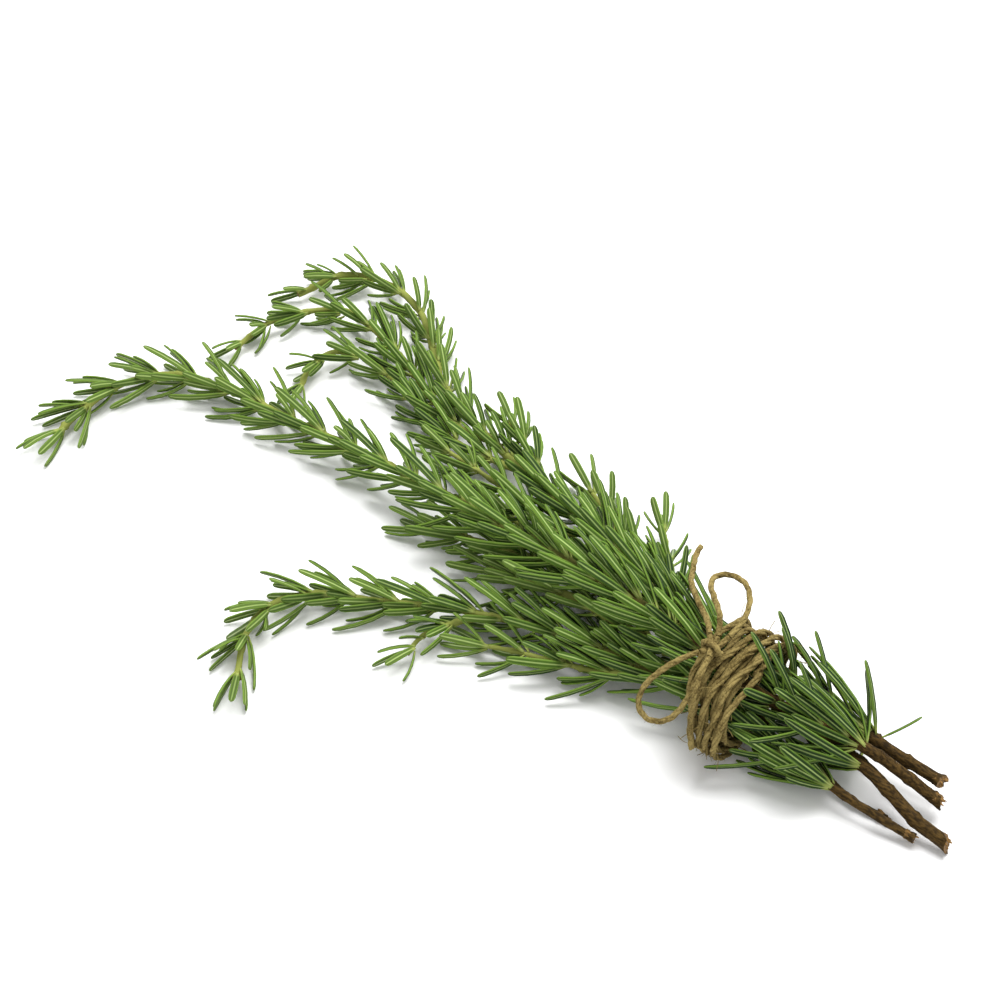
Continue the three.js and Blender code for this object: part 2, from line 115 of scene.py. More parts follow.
growth = {
    "ringStep": 16,          # distance between the stem stations that leaves are placed from
    "nodeStep": 13.5,        # between leaf whorls
    "nodesPerPiece": 4,
    "floorClear": 1.25,      # leaves stay this far above the table
    "bladeClear": 0.2,       # and their blades a little further
    "leafSpace": 2.35,       # between the middles of two leaves
    "smallShare": 0.72,      # of that space round a side bud's small leaf
    "tipTurn": 1.2566,       # a fifth of a turn between the five leaves of a tip
    "halfWidth": 1.15,
    "baseSkin": 0.8,         # leaf bases thicken a stem by this much
}
twine = {
    "radius": 1.0,
    "strands": 3,
    # the turns round the bunch are laid looser and are more frayed than the free ends
    "loose": {"Strand offset": 0.0005, "Strand radius": 0.00056, "Pitch": 0.016, "Fibres": 90000.0,
              "Fray": 2.8},
}
tie = {
    "x": 112.5, "y": 0, "z": 18.2, "halfWidth": 16.8, "halfHeight": 11.9,
    "turns": 7, "pitch": 2.35, "startAngle": 1.7,
    "over": 4, "overPitch": 4, "layer": 2.35,            # turns laid back over the first ones
    "slant": 2.4, "slantAngle": 0.6,
    "gatherAngle": 3.75, "gatherLift": 2.6, "gatherShift": 5.5, "squeeze": 0.45,
    "wander": 0.28, "lowest": 1.5,
}
# Free lengths of twine: where each leaves the knot is its first point.
freeTwine = {
    "twine_tail_upper": {"farEnd": "bare", "route": [
        (104.5, -2.65, 38.3), (101, 1, 38.6), (94, 6, 38.5), (88, 11.5, 37.5), (85, 17, 36.5), (82, 23, 35.5),
        (81, 27, 35)]},
    "twine_tail_lower": {"farEnd": "bare", "route": [
        (109.45, -10.4, 38.1), (110.5, -15.5, 37.6), (112, -21, 33.5), (113.5, -24.5, 25), (115, -25, 14)]},
    "twine_loop_upper": {"farEnd": "object", "route": [
        (107.1, -2, 38.75), (104, 3, 41), (99, 7, 42.5), (95.5, 10.5, 42.5), (95, 14, 42.5), (98, 17, 42.5),
        (103, 17.5, 42), (107, 14.5, 41), (109.5, 9, 39.5), (109.8, 4, 38.3), (109.45, 0.4, 37.8)]},
    "twine_loop_lower": {"farEnd": "object", "route": [
        (105.35, -9.4, 37), (102, -14, 35.5), (99, -19, 33), (97, -25, 29.5), (98, -29, 26), (102, -30.5, 24),
        (107, -29, 25), (109.5, -25, 27.5), (109.7, -19.5, 31), (109, -14, 34.2), (108.85, -10.4, 35.2)]},
}
knot = {
    "centre": (107.5, -6, 37),
    "strands": [
        [(104.8, -3, 38.2), (107.2, -6, 37.6), (109.3, -10, 38)],
        [(107.2, -2.4, 38.6), (107.5, -6, 37), (105.6, -9, 37)],
        [(109.4, 0, 37.7), (108.6, -5.5, 36.6), (108.8, -10, 35.4)],
    ],
    "bandRadius": 2.7,
}


def smoothRoute(points, step):
    # a centripetal curve through the points, cut into even steps
    pts = [np.array(p, float) for p in points]
    pts = [2 * pts[0] - pts[1]] + pts + [2 * pts[-1] - pts[-2]]
    dense = []
    for p0, p1, p2, p3 in zip(pts, pts[1:], pts[2:], pts[3:]):
        d0, d1, d2 = (max(1e-4, np.linalg.norm(b - a)) ** 0.5 for a, b in ((p0, p1), (p1, p2), (p2, p3)))
        m1 = ((p1 - p0) / d0 - (p2 - p0) / (d0 + d1) + (p2 - p1) / d1) * d1
        m2 = ((p2 - p1) / d1 - (p3 - p1) / (d1 + d2) + (p3 - p2) / d2) * d1
        for t in np.linspace(0, 1, 24, endpoint=False):
            dense.append((2 * t**3 - 3 * t**2 + 1) * p1 + (t**3 - 2 * t**2 + t) * m1
                         + (3 * t**2 - 2 * t**3) * p2 + (t**3 - t**2) * m2)
    dense.append(pts[-2])
    dense = np.array(dense)
    arc = np.concatenate([[0], np.cumsum(np.linalg.norm(np.diff(dense, axis=0), axis=1))])
    count = max(3, round(arc[-1] / step) + 1)
    even = np.linspace(0, arc[-1], count)
    return np.stack([np.interp(even, arc, dense[:, k]) for k in range(3)], axis=1), arc[-1]


def unit(v):
    return v / max(1e-9, np.linalg.norm(v))


class Path:
    # stations along a stem with a frame that doesn't twist
    def __init__(self, route, radii, step):
        self.p, _ = smoothRoute(route, step)
        self.s = np.concatenate([[0], np.cumsum(np.linalg.norm(np.diff(self.p, axis=0), axis=1))])
        ahead = np.vstack([self.p[1:], self.p[-1:]])
        behind = np.vstack([self.p[:1], self.p[:-1]])
        self.t = np.array([unit(v) for v in ahead - behind])
        side = np.array([0.0, 0, 1])
        sides = []
        for t in self.t:
            side = unit(side - t * side.dot(t))
            sides.append(side)
        self.n = np.array(sides)
        self.b = np.cross(self.t, self.n)
        self.r = radii[0] + (radii[1] - radii[0]) * (self.s / self.s[-1]) ** 0.8

    def at(self, s):
        p, t, n, b = (np.array([np.interp(s, self.s, grid[:, k]) for k in range(3)])
                      for grid in (self.p, self.t, self.n, self.b))
        return p, unit(t), n, b, float(np.interp(s, self.s, self.r))


def chance(a, b):
    # a repeatable number from 0 to 1 for a pair of numbers
    wave = math.sin(a * 127.1 + b * 311.7 + 17.3) * 43758.5453
    return wave - math.floor(wave)


def segmentGaps(a, b, starts, ends):
    # closest distances from the segment a-b to many segments
    u, v, w = b - a, ends - starts, a - starts
    uu, vv = u @ u, np.einsum("ij,ij->i", v, v)
    uv, uw, vw = v @ u, w @ u, np.einsum("ij,ij->i", v, w)
    den = uu * vv - uv * uv
    s = np.clip(np.where(den > 1e-9, (uv * vw - vv * uw) / np.maximum(den, 1e-9), 0), 0, 1)
    t = np.clip((uv * s + vw) / np.maximum(vv, 1e-9), 0, 1)
    s = np.clip((uv * t - uw) / uu, 0, 1)
    return np.linalg.norm(a + s[:, None] * u - starts - t[:, None] * v, axis=1)


class Leaf:
    # two straight halves that lean out from the stem and bend back toward it
    def __init__(self, path, s, turn, spread, length, curl):
        p, t, n, b, r = path.at(s)
        out = unit(n * math.cos(turn) + b * math.sin(turn))
        self.base = p + out * (r + 0.55) * 0.93
        lower = t * math.cos(spread + curl) + out * math.sin(spread + curl)
        upper = t * math.cos(spread - curl) + out * math.sin(spread - curl)
        self.mid = self.settle(self.base, lower, length / 2)
        self.tip = self.settle(self.mid, upper, length / 2)
        along = unit(self.tip - self.base)
        self.face = unit(t - along * t.dot(along))
        self.root = p + out * r * 0.8
        self.length = length

    def settle(self, start, direction, reach):
        end = start + direction * reach
        end[2] = max(end[2], growth["floorClear"])
        return start + unit(end - start) * reach


class Thicket:
    # every stem, twine and leaf segment that a new leaf keeps clear of
    def __init__(self):
        self.starts, self.ends, self.radii, self.owners, self.whorls = [], [], [], [], []
        self.table = None

    def add(self, a, b, radius, owner, whorl=-1):
        self.starts.append(a)
        self.ends.append(b)
        self.radii.append(radius)
        self.owners.append(owner)
        self.whorls.append(whorl)
        self.table = None

    def addTube(self, points, radii, owner):
        for i in range(len(points) - 1):
            self.add(points[i], points[i + 1], radii[i], owner)

    def isClear(self, leaf, owner, whorl, room):
        if min(leaf.mid[2], leaf.tip[2]) < growth["floorClear"] - 0.05:
            return False
        if self.table is None:
            self.table = [np.array(x) for x in (self.starts, self.ends, self.radii, self.owners, self.whorls)]
        starts, ends = self.table[:2]
        near = np.linalg.norm((starts + ends) / 2 - leaf.mid, axis=1) < 42
        starts, ends, radii, owners, whorls = (x[near] for x in self.table)
        own = owners == owner
        isLeaf = whorls >= 0
        same = own & (whorls == whorl)
        need = np.where(isLeaf, room * np.where(same, 0.8, 1.0), radii + np.where(own, 0.7, room / 2 + 0.1))
        late = leaf.base + (leaf.mid - leaf.base) * 0.5
        early = leaf.base + (leaf.mid - leaf.base) * 0.2
        fromLate = same | (own & ~isLeaf)
        for mask, start in ((fromLate, late), (~fromLate, early)):
            if mask.any() and (segmentGaps(start, leaf.mid, starts[mask], ends[mask]) < need[mask]).any():
                return False
        return not (segmentGaps(leaf.mid, leaf.tip, starts, ends) < need).any()

    def addLeaf(self, leaf, owner, whorl):
        self.add(leaf.base + (leaf.mid - leaf.base) * 0.35, leaf.mid, growth["halfWidth"], owner, whorl)
        self.add(leaf.mid, leaf.tip, growth["halfWidth"], owner, whorl)


def coilRoute():
    # side-by-side turns that gather two deep at the low near side, then a few slanted turns back over them
    points = []
    steps = 24
    for i in range((tie["turns"] + tie["over"]) * steps + 1):
        turn = i / steps
        angle = tie["startAngle"] - turn * math.tau
        gather = max(0, math.cos(angle - tie["gatherAngle"]))
        climb = min(1, max(0, (turn - tie["turns"]) / 0.25))
        cross = min(1, max(0, (turn - tie["turns"] - 0.25) / 0.5))
        upper = max(math.floor(turn) % 2 if turn < tie["turns"] else 0, climb)
        lift = twine["radius"] + 0.3 + climb * tie["layer"] + gather * upper * tie["gatherLift"]
        along = (tie["turns"] / 2 - min(turn, tie["turns"])) * tie["pitch"] + cross * tie["overPitch"]
        along += max(0, turn - tie["turns"] - 0.5) * tie["overPitch"]
        x = tie["x"] + tie["gatherShift"] * gather + along * (1 - tie["squeeze"] * gather ** 2)
        x += cross * tie["slant"] * math.cos(angle - tie["slantAngle"])
        points.append((x, tie["y"] + math.cos(angle) * (tie["halfWidth"] + lift),
                       tie["z"] + math.sin(angle) * (tie["halfHeight"] + lift)))
    return np.array(points)


def bandRoute():
    cx, cy, cz = knot["centre"]
    return np.array([(cx + math.cos(a) * knot["bandRadius"] * 1.1, cy + (k / 9 - 0.5) * 1.2,
                      cz + math.sin(a) * knot["bandRadius"] * 0.9)
                     for k, a in enumerate(np.linspace(0, math.pi * 1.94, 10))])


def stemEntry(label, sprigName, stem, route, step):
    return {"label": label, "sprig": sprigName, "path": Path(route, stem["radii"], step), "route": route,
            "bare": stem["bare"], "leafLength": stem["leafLength"], "radii": stem["radii"]}


# stems and twine first, so that the leaves grow round them
thicket = Thicket()
paths = []
for name, sprig in sprigs.items():
    paths.append(stemEntry(name, name, sprig, sprig["route"], growth["ringStep"]))
    main = paths[-1]["path"]
    fine = [main.at(s)[0] for s in np.linspace(0, main.s[-1], 400)]
    for branchName, branch in sprig.get("branches", {}).items():
        nearest = min(fine, key=lambda p: np.linalg.norm(p - np.array(branch["route"][0])))
        route = [tuple(nearest)] + branch["route"][1:]
        paths.append(stemEntry(name + "_" + branchName, name, branch, route, growth["ringStep"] * 0.8))
for owner, entry in enumerate(paths):
    thicket.addTube(entry["path"].p, entry["path"].r + growth["baseSkin"], owner)
looseRoutes = [smoothRoute(cord["route"], 4)[0] for cord in freeTwine.values()]
looseRoutes += [coilRoute(), bandRoute()] + [smoothRoute(route, 3)[0] for route in knot["strands"]]
for route in looseRoutes:
    thicket.addTube(route, [twine["radius"]] * len(route), -1)
print("stems and twine laid out:", len(paths), "stems")

# whorls: an opposite pair, each with a smaller leaf on both sides, the next pair a quarter turn round;
# each spot is a turn round the stem, a distance along it and a share of the leaf's length
whorlSpots = [
    (0, 0, 1), (math.pi, 0.3, 0.97),
    (0.75, 1.6, 0.78), (math.pi - 0.75, 1.9, 0.8),
    (-0.75, 2.2, 0.7), (math.pi + 0.75, 2.5, 0.72),
]
# a leaf that meets something is tried again with a turn and a spread added and a share of its length
firstTries = [
    (0, 0, 1), (0.35, 0.05, 1), (-0.35, 0.05, 1), (0, -0.22, 1),
    (0.7, 0, 0.95), (-0.7, 0, 0.95), (0.3, -0.28, 0.9), (-0.3, -0.28, 0.9),
]
lastTries = [(0, 0.3, 0.85), (0.5, 0.25, 0.8), (-0.5, 0.25, 0.8), (0, -0.1, 0.65)]
# leaves between the cut ends and the twine may also stand up far enough to pass over it
overTie = [(0, 0.4, 1), (0.4, 0.45, 1), (-0.4, 0.45, 1), (0, 0.65, 0.9), (0.5, 0.6, 0.9), (-0.5, 0.6, 0.9)]
# one leaf stands out alone at the cut end of a sprig
strays = [{"label": "sprig_2", "s": 22, "turn": 0.9, "spread": 2.1, "length": 13}]


def growLeaf(entry, owner, whorl, index, s, turn, spread, length, room):
    curl = 0.02 + 0.07 * chance(index, 5)
    isLow = entry["path"].at(s)[0][0] > tie["x"] + 8
    tries = firstTries + (overTie if isLow else []) + lastTries
    for turnBy, spreadBy, size in tries:
        leaf = Leaf(entry["path"], s, turn + turnBy, max(0.14, spread + spreadBy), length * size, curl)
        if thicket.isClear(leaf, owner, whorl, room):
            leaf.piece = whorl // growth["nodesPerPiece"]
            leaf.tone = chance(index, 11)
            leaf.twist = (chance(index, 12) - 0.5) * 0.5
            leaf.young = s / entry["path"].s[-1]
            thicket.addLeaf(leaf, owner, whorl)
            entry["leaves"].append(leaf)
            return


for entry in paths:
    entry["leaves"] = []
    leafy = entry["path"].s[-1] - entry["bare"] - 6
    entry["whorls"] = max(1, round(leafy / growth["nodeStep"]))
    entry["step"] = leafy / entry["whorls"]
for stray in strays:
    owner = next(i for i, entry in enumerate(paths) if entry["label"] == stray["label"])
    growLeaf(paths[owner], owner, 0, 0, stray["s"], stray["turn"], stray["spread"], stray["length"],
             growth["leafSpace"])
for whorl in range(max(entry["whorls"] for entry in paths)):
    for owner, entry in enumerate(paths):
        if whorl >= entry["whorls"]:
            continue
        part = whorl / max(1, entry["whorls"] - 1)
        length = entry["leafLength"][0] + (entry["leafLength"][1] - entry["leafLength"][0]) * part ** 1.3
        seed = owner * 97 + whorl * 7
        for k, (turn, along, size) in enumerate(whorlSpots):
            s = entry["bare"] + (whorl + 0.25) * entry["step"] + along
            low = max(0, 1 - s / 60) if entry["label"] == entry["sprig"] else 0
            angle = whorl * math.pi / 2 + turn + owner + (chance(seed, k) - 0.5) * 0.5
            spread = 0.27 + 0.24 * chance(seed + 1, k) + 0.2 * part
            reach = length * size * (0.88 + 0.2 * chance(seed + 2, k)) * (1 + 0.5 * low)
            growLeaf(entry, owner, whorl, seed + k, s, angle, spread, reach, growth["leafSpace"])
        if whorl == entry["whorls"] - 1:
            for k in range(5):
                s = entry["path"].s[-1] - 1.5 - k * 0.5
                spread = 0.22 + 0.2 * chance(seed + 3, k)
                growLeaf(entry, owner, whorl, seed + 50 + k, s, k * growth["tipTurn"] + owner, spread,
                         length * 0.8, growth["leafSpace"])
firstLeaves = sum(len(entry["leaves"]) for entry in paths)
# then the small leaves of the side buds fill in between them
for whorl in range(max(entry["whorls"] for entry in paths)):
    for owner, entry in enumerate(paths):
        if whorl >= entry["whorls"]:
            continue
        part = whorl / max(1, entry["whorls"] - 1)
        length = entry["leafLength"][0] + (entry["leafLength"][1] - entry["leafLength"][0]) * part
        seed = 5000 + owner * 131 + whorl * 17
        count = (9, 5) if entry["label"] == entry["sprig"] else (6, 2)
        for k in range(count[0] if part < 0.5 else count[1]):
            s = entry["bare"] + (whorl + 0.25 + 0.35 * (k % 3) * chance(seed, k)) * entry["step"]
            size = (0.45 + 0.5 * chance(seed + 1, k)) if k < 6 else 0.95
            growLeaf(entry, owner, whorl, seed + k, s, k * 2.4 + owner + chance(seed + 2, k),
                     0.25 + 0.3 * chance(seed + 3, k), length * size,
                     growth["leafSpace"] * growth["smallShare"])
smallLeaves = sum(len(entry["leaves"]) for entry in paths) - firstLeaves
print("leaves grown:", firstLeaves, "and", smallLeaves, "small ones")


class Sock:
    # a socket that can be used in Python sums: vectors go through Vector Math, numbers through Math
    def __init__(self, graph, socket):
        self.graph, self.socket = graph, socket

    def __getitem__(self, name):
        return Sock(self.graph, self.socket.node.outputs[name])

    def isVector(self):
        return self.socket.type in {"VECTOR", "RGBA"}

    def __add__(self, other):
        return self.graph.calc("ADD", self, other)

    def __radd__(self, other):
        return self.graph.calc("ADD", other, self)

    def __sub__(self, other):
        return self.graph.calc("SUBTRACT", self, other)

    def __rsub__(self, other):
        return self.graph.calc("SUBTRACT", other, self)

    def __mul__(self, other):
        return self.graph.calc("MULTIPLY", self, other)

    def __rmul__(self, other):
        return self.graph.calc("MULTIPLY", other, self)

    def __truediv__(self, other):
        return self.graph.calc("DIVIDE", self, other)


class Graph:
    def __init__(self, tree):
        self.tree = tree

    def add(self, kind, settings=None, links=None, out=0):
        node = self.tree.nodes.new(kind)
        for key, value in (settings or {}).items():
            setattr(node, key, value)
        for key, value in (links or {}).items():
            if isinstance(key, int):
                target = node.inputs[key]
            else:
                target = next(s for s in node.inputs if s.name == key and s.enabled)
            self.feed(target, value)
        return Sock(self, node.outputs[out])

    def feed(self, target, value):
        if isinstance(value, Sock):
            self.tree.links.new(value.socket, target)
        else:
            target.default_value = value

    def calc(self, operation, a, b):
        vectors = [isinstance(x, tuple) or (isinstance(x, Sock) and x.isVector()) for x in (a, b)]
        if not any(vectors):
            return self.add("ShaderNodeMath", {"operation": operation}, {0: a, 1: b})
        if operation == "MULTIPLY" and not all(vectors):
            vector, scale = (a, b) if vectors[0] else (b, a)
            return self.add("ShaderNodeVectorMath", {"operation": "SCALE"}, {0: vector, "Scale": scale})
        return self.add("ShaderNodeVectorMath", {"operation": operation}, {0: a, 1: b})

    def math(self, operation, *values):
        return self.add("ShaderNodeMath", {"operation": operation}, dict(enumerate(values)))

    def cross(self, a, b):
        return self.add("ShaderNodeVectorMath", {"operation": "CROSS_PRODUCT"}, {0: a, 1: b})

    def dot(self, a, b):
        return self.add("ShaderNodeVectorMath", {"operation": "DOT_PRODUCT"}, {0: a, 1: b}, "Value")

    def unit(self, a):
        return self.add("ShaderNodeVectorMath", {"operation": "NORMALIZE"}, {0: a})

    def parts(self, vector):
        split = self.add("ShaderNodeSeparateXYZ", None, {0: vector})
        return split["X"], split["Y"], split["Z"]

    def join(self, x, y, z):
        return self.add("ShaderNodeCombineXYZ", None, {"X": x, "Y": y, "Z": z})

    def ramp(self, value, low, high, out=(0, 1)):
        return self.add("ShaderNodeMapRange", {"interpolation_type": "SMOOTHSTEP"}, {
            "Value": value, "From Min": low, "From Max": high, "To Min": out[0], "To Max": out[1]})

    def mix(self, factor, a, b):
        return self.add("ShaderNodeMix", {"data_type": "RGBA"}, {"Factor": factor, "A": a, "B": b}, 2)

    def noise(self, vector, scale, detail=2.0, rough=0.5):
        return self.add("ShaderNodeTexNoise", None, {
            "Vector": vector, "Scale": scale, "Detail": detail, "Roughness": rough})

    def bump(self, strength, distance, height):
        return self.add("ShaderNodeBump", None, {
            "Strength": strength, "Distance": distance, "Height": height})

    def attribute(self, name):
        return self.add("ShaderNodeAttribute", {"attribute_name": name}, None, "Fac")

    def store(self, geometry, name, kind, value):
        return self.add("GeometryNodeStoreNamedAttribute", {"data_type": kind, "domain": "POINT"},
                        {"Geometry": geometry, "Name": name, "Value": value})

    def sweep(self, line, ring, scale):
        return self.add("GeometryNodeCurveToMesh", None, {
            "Curve": line, "Profile Curve": ring, "Scale": scale, "Fill Caps": True})

    def named(self, name, kind="FLOAT"):
        return self.add("GeometryNodeInputNamedAttribute", {"data_type": kind}, {"Name": name})


def newTree(name, inputs):
    # a geometry tree whose first input is the geometry; the rest are named sizes, objects and materials
    tree = bpy.data.node_groups.new(name, "GeometryNodeTree")
    tree.interface.new_socket("Geometry", in_out="INPUT", socket_type="NodeSocketGeometry")
    for label, (kind, value) in inputs.items():
        socket = tree.interface.new_socket(label, in_out="INPUT", socket_type="NodeSocket" + kind)
        if value is not None:
            socket.default_value = value
    tree.interface.new_socket("Geometry", in_out="OUTPUT", socket_type="NodeSocketGeometry")
    graph = Graph(tree)
    return graph, graph.add("NodeGroupInput")


def endTree(graph, geometry, material):
    smooth = graph.add("GeometryNodeSetShadeSmooth", None, {"Geometry": geometry})
    done = graph.add("GeometryNodeSetMaterial", None, {"Geometry": smooth, "Material": material})
    out = graph.tree.nodes.new("NodeGroupOutput")
    graph.feed(out.inputs[0], done)


def runTree(name, graph, source, values):
    # applies the tree to the source and returns the result as a plain mesh object
    holder = bpy.data.objects.new(name + "_source", source)
    bpy.context.scene.collection.objects.link(holder)
    modifier = holder.modifiers.new("tree", "NODES")
    modifier.node_group = graph.tree
    sockets = {s.name: s.identifier for s in graph.tree.interface.items_tree if s.in_out == "INPUT"}
    for label, value in values.items():
        modifier[sockets[label]] = value
    bpy.context.view_layer.update()
    evaluated = holder.evaluated_get(bpy.context.evaluated_depsgraph_get())
    mesh = bpy.data.meshes.new_from_object(evaluated)
    holder.modifiers.clear()
    bpy.data.objects.remove(holder)
    mesh.name = name
    piece = bpy.data.objects.new(name, mesh)
    bpy.context.scene.collection.objects.link(piece)
    return piece


def lineMesh(name, lines, columns):
    # polylines with one value a point in each column
    points = np.concatenate(lines)
    mesh = bpy.data.meshes.new(name)
    edges, start = [], 0
    for line in lines:
        edges += [(start + i, start + i + 1) for i in range(len(line) - 1)]
        start += len(line)
    mesh.from_pydata(points.tolist(), edges, [])
    fillColumns(mesh, columns)
    return mesh


def fillColumns(mesh, columns):
    for label, values in columns.items():
        values = np.asarray(values, dtype=np.float32)
        kind = "FLOAT_VECTOR" if values.ndim == 2 else "FLOAT"
        data = mesh.attributes.new(label, kind, "POINT").data
        data.foreach_set("vector" if values.ndim == 2 else "value", values.ravel())


# the frame's shift is found from the box of the first stem, whose rings have five corners
ownStem = paths[0]["path"]
corners = np.array([ownStem.p + ownStem.r[:, None] * (ownStem.n * math.cos(a) + ownStem.b * math.sin(a))
                    for a in np.arange(5) * math.tau / 5]).reshape(-1, 3)
cadLow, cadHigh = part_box("sprig_1_stem")
shift = (np.array(cadLow) + np.array(cadHigh)) / 2 / mm - (corners.min(axis=0) + corners.max(axis=0)) / 2
print("shift into the frame (mm):", [round(float(v), 2) for v in shift])


def inFrame(points):
    return (np.asarray(points, float) + shift) * mm


def newMaterial(name):
    material = bpy.data.materials.new(name)
    material.use_nodes = True
    graph = Graph(material.node_tree)
    shader = material.node_tree.nodes["Principled BSDF"]
    return material, graph, shader


leafLook = {
    "dark": (0.008, 0.029, 0.002, 1),
    "light": (0.056, 0.118, 0.008, 1),
    "young": (0.095, 0.145, 0.028, 1),
    # painted highlight: the pale line along the midrib groove on the upper side
    "midline": (0.54, 0.66, 0.30, 1),
    "underLine": (0.38, 0.50, 0.16, 1),      # the paler line along the underside
    "edge": (0.19, 0.31, 0.04, 1),
    "base": (0.40, 0.45, 0.12, 1),
}


def leafMaterial():
    material, g, shader = newMaterial("rosemaryLeaf")
    look = leafLook
    u, v, _ = g.parts(g.add("ShaderNodeUVMap", {"uv_map": "blade"}))
    tone, young = g.attribute("leafTone"), g.attribute("leafYoung")
    place = g.add("ShaderNodeTexCoord", None, None, "Object")
    patches = g.noise(place, 260.0, 3.0)
    under = g.ramp(v, 0.98, 1.02)      # v runs from 0 to 1 over the upper side and on to 2 underneath
    across = g.math("ABSOLUTE", v * 2 - 1)
    acrossUnder = g.math("ABSOLUTE", v * 2 - 3)
    older = g.ramp(g.parts(place)[0], 0.03, 0.12)      # leaves near the cut ends are darker
    shade = g.ramp(tone * 0.6 + patches * 0.4 + young * 0.35 - older * 0.3, 0.2, 0.95)
    body = g.mix(shade, look["dark"], look["light"])
    body = g.mix(g.ramp(young + tone * 0.4, 0.55, 1.2) * 0.6, body, look["young"])
    # a painted highlight along the midrib groove, as a pale line down the middle of the upper side
    line = 1 - g.ramp(across, 0.06, 0.24)
    top = g.mix(line * (0.5 + 0.4 * tone), body, look["midline"])
    top = g.mix(g.ramp(across, 0.66, 0.92) * 0.7, top, look["edge"])
    backLine = 1 - g.ramp(acrossUnder, 0.08, 0.28)
    back = g.mix(backLine * (0.45 + 0.45 * tone), body, look["underLine"])
    back = g.mix(g.ramp(acrossUnder, 0.66, 0.95) * 0.6, back, look["edge"])
    colour = g.mix(under, top, back)
    colour = g.mix((1 - g.ramp(u, 0.02, 0.2)) * 0.75, colour, look["base"])
    colour = g.mix(g.ramp(u, 0.93, 1.0) * 0.4, colour, look["young"])
    g.feed(shader.inputs["Base Color"], colour)
    g.feed(shader.inputs["Roughness"], g.ramp(under + patches * 0.3, 0.0, 1.2, (0.36, 0.75)))
    grain = g.noise(place, 2600.0, 2.0)
    g.feed(shader.inputs["Normal"], g.bump(0.25, 0.0001, grain))
    shader.inputs["Specular IOR Level"].default_value = 0.22
    shader.inputs["Subsurface Weight"].default_value = 0.12
    shader.inputs["Subsurface Radius"].default_value = (0.3, 0.6, 0.1)
    shader.inputs["Subsurface Scale"].default_value = 0.001
    return material


stemLook = {
    "wood": (0.018, 0.010, 0.002, 1), "woodLight": (0.085, 0.049, 0.012, 1), "green": (0.24, 0.27, 0.06, 1),
    "cut": (0.30, 0.17, 0.055, 1), "cutDark": (0.07, 0.037, 0.012, 1),
}


def stemMaterial():
    material, g, shader = newMaterial("rosemaryStem")
    look = stemLook
    age, fresh = g.attribute("age"), g.attribute("fresh")      # age is 0 at the cut end and 1 at the tip
    place = g.add("ShaderNodeTexCoord", None, None, "Object")
    streaks = g.noise(place * (1.0, 3.5, 3.5), 420.0, 4.0, 0.6)
    blotch = g.noise(place, 160.0, 2.0)
    wood = g.mix(g.ramp(streaks, 0.35, 0.68), look["wood"], look["woodLight"])
    colour = g.mix(g.ramp(age + blotch * 0.25, 0.30, 0.72), wood, look["green"])
    colour = g.mix(fresh, colour, g.mix(g.ramp(streaks, 0.3, 0.6), look["cutDark"], look["cut"]))
    g.feed(shader.inputs["Base Color"], colour)
    shader.inputs["Roughness"].default_value = 0.72
    shader.inputs["Specular IOR Level"].default_value = 0.1
    g.feed(shader.inputs["Normal"], g.bump(0.6, 0.0003, streaks))
    return material


def cutMaterial():
    material, g, shader = newMaterial("cutWood")
    place = g.add("ShaderNodeTexCoord", None, None, "Object")
    grain = g.noise(place, 900.0, 4.0, 0.7)
    colour = g.mix(g.ramp(grain, 0.35, 0.65), stemLook["cutDark"], stemLook["cut"])
    g.feed(shader.inputs["Base Color"], colour)
    shader.inputs["Roughness"].default_value = 0.85
    g.feed(shader.inputs["Normal"], g.bump(0.8, 0.0004, grain))
    return material


twineLook = {"light": (0.30, 0.230, 0.082, 1), "dark": (0.095, 0.066, 0.018, 1), "roughness": 0.95}


def twineMaterial():
    material, g, shader = newMaterial("juteTwine")
    place = g.add("ShaderNodeTexCoord", None, None, "Object")
    fibres = g.noise(place, 1500.0, 4.0, 0.65)
    patches = g.noise(place, 220.0, 2.0)
    colour = g.mix(g.ramp(fibres * 0.6 + patches * 0.4, 0.36, 0.62), twineLook["dark"], twineLook["light"])
    g.feed(shader.inputs["Base Color"], colour)
    shader.inputs["Roughness"].default_value = twineLook["roughness"]
    shader.inputs["Specular IOR Level"].default_value = 0.15
    g.feed(shader.inputs["Normal"], g.bump(0.7, 0.0003, fibres))
    return material


leafSkin, bark, cutWood, jute = leafMaterial(), stemMaterial(), cutMaterial(), twineMaterial()
print("materials made")

view = {"azimuth": 38, "elevation": 47, "distance": 0.792, "lens": 85, "target": (0, 30, 0)}
a, e = math.radians(view["azimuth"]), math.radians(view["elevation"])
back = Vector((math.sin(a) * math.cos(e), -math.cos(a) * math.cos(e), math.sin(e)))
target = Vector(inFrame([view["target"]])[0])
camera = bpy.data.objects.new("camera", bpy.data.cameras.new("camera"))
bpy.context.scene.collection.objects.link(camera)
camera.data.lens, camera.data.sensor_width, camera.data.clip_start = view["lens"], 36, 0.01
camera.location = target + back * view["distance"]
camera.rotation_euler = back.to_track_quat("Z", "Y").to_euler()
bpy.context.scene.camera = camera

studio = {"key": 38.0, "keySize": 1.1, "fill": 0.78, "floor": (0.9, 0.9, 0.9, 1)}
cameraRight = Vector((math.cos(a), math.sin(a), 0))
cameraAway = Vector((-math.sin(a), math.cos(a), 0))


def areaLight(name, place, power, size):
    lamp = bpy.data.lights.new(name, "AREA")
    lamp.energy, lamp.size = power, size
    holder = bpy.data.objects.new(name, lamp)
    holder.location = place
    holder.rotation_euler = (place - target).to_track_quat("Z", "Y").to_euler()
    bpy.context.scene.collection.objects.link(holder)


